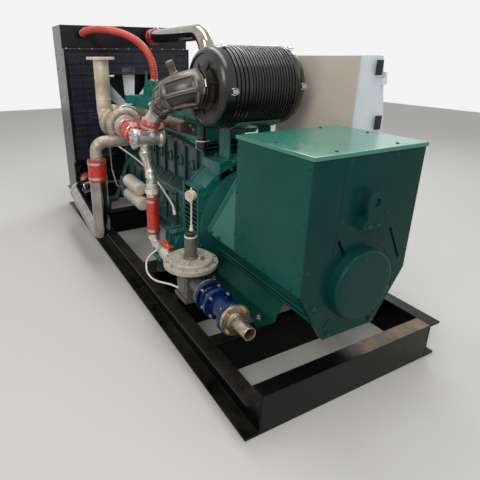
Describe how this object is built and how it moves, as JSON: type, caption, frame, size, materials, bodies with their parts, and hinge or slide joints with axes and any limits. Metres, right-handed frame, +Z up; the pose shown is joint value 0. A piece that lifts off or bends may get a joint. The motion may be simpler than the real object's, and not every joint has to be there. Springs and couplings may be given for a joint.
{
  "type": "gas engine generator set",
  "caption": "Skid-mounted gas engine generator set with turbocharged engine, alternator, radiator with belt-driven fan, gas train and control cabinet.",
  "frame": {"origin": "middle of the underside of the rear engine cross member, level with the underside of the base rails", "axes": "+Z up; +Y along the shaft from the alternator to the radiator; +X to the control cabinet's side"},
  "size_m": [1.1645, 2.73, 1.401],
  "materials": {
    "gloss_black": "gloss black paint",
    "alternator_green": "gloss blue-green enamel",
    "engine_teal": "gloss teal enamel on castings",
    "cream_enamel": "cream enamel",
    "black_rubber": "black moulded rubber",
    "cast_iron": "bare cast iron",
    "heat_tinted_iron": "heat tinted cast iron",
    "cast_aluminium": "as-cast aluminium",
    "steel_pipe": "mill finish steel pipe",
    "red_silicone": "red silicone hose",
    "polished_pipe": "polished stainless pipe",
    "radiator_fins": "black finned core",
    "fan_white": "white moulded plastic",
    "filter_black": "black moulded plastic",
    "inlet_tube": "smooth aluminium tube",
    "galvanised_fittings": "zinc plated pipe fittings",
    "handle_orange_red": "orange-red enamel",
    "blue_enamel": "blue enamel",
    "cabinet_white": "off-white powder coat"
  },
  "bodies": {
    "genset_frame": {"base_left_rail": "gloss_black", "base_right_rail": "gloss_black", "base_near_rail": "gloss_black", "base_far_rail": "gloss_black", "base_rear_engine_beam": "gloss_black", "base_front_engine_beam": "gloss_black", "base_alternator_near_beam": "gloss_black", "base_alternator_far_beam": "gloss_black", "radiator_frame": "gloss_black", "radiator_core": "radiator_fins", "fan_guard": "gloss_black", "cabinet_stand": "gloss_black", "cabinet_body": "cabinet_white", "alternator_frame": "alternator_green", "alternator_terminal_box": "alternator_green", "alternator_lid": "alternator_green", "alternator_end_bracket": "alternator_green", "alternator_end_cover": "alternator_green", "alternator_lifting_lug": "alternator_green", "flywheel_housing": "engine_teal", "engine_block": "engine_teal", "oil_sump": "engine_teal", "cylinder_head": "engine_teal", "intake_manifold": "engine_teal", "oil_filters": "cream_enamel", "rear_mount_left": "black_rubber", "rear_mount_right": "black_rubber", "front_mount_left": "black_rubber", "front_mount_right": "black_rubber", "fan_belt": "black_rubber", "exhaust_manifold": "cast_iron", "turbine_housing": "heat_tinted_iron", "compressor_housing": "cast_aluminium", "exhaust_pipe": "steel_pipe", "lower_charge_hose": "red_silicone", "lower_charge_pipe": "polished_pipe", "radiator_inlet_hose": "red_silicone", "radiator_outlet_hose": "red_silicone", "upper_charge_pipe": "polished_pipe", "coolant_hose": "red_silicone", "air_filter": "filter_black", "air_filter_bracket": "engine_teal", "air_filter_elbow": "black_rubber", "mixer_inlet_tube": "inlet_tube", "mixer_top_hose": "red_silicone", "gas_mixer": "cast_aluminium", "compressor_inlet_hose": "red_silicone", "gas_riser_hose": "red_silicone", "gas_riser_pipe": "galvanised_fittings", "gas_valve": "galvanised_fittings", "gas_regulator": "cast_aluminium", "gas_gauge": "cream_enamel", "flame_arrester": "blue_enamel", "gas_inlet": "galvanised_fittings", "impulse_tube": "galvanised_fittings"},
    "fan": {"fan": "fan_white"},
    "crank_pulley": {"crank_pulley": "gloss_black"},
    "valve_handle": {"gas_valve_handle": "handle_orange_red"},
    "cabinet_door": {"cabinet_door": "cabinet_white"}
  },
  "joints": [
    {"name": "crank_spin", "type": "hinge", "parent": "genset_frame", "child": "crank_pulley", "pos_m": [0, 1.02, 0.447], "axis": [0, 1, 0], "continuous": true},
    {"name": "fan_spin", "type": "hinge", "parent": "genset_frame", "child": "fan", "pos_m": [0, 1.345, 0.78], "axis": [0, 1, 0], "continuous": true},
    {"name": "valve_handle_turn", "type": "hinge", "parent": "genset_frame", "child": "valve_handle", "pos_m": [-0.38, -0.17, 0.345], "axis": [0, 0, 1], "range_deg": [0, 90]},
    {"name": "cabinet_door_swing", "type": "hinge", "parent": "genset_frame", "child": "cabinet_door", "pos_m": [0.56995, -0.568, 0.62378], "axis": [0.2011, 0, -0.9796], "range_deg": [0, 110]}
  ],
  "couplings": [
    {"joint": "fan_spin", "follows": "crank_spin", "ratio": 1.218}
  ]
}
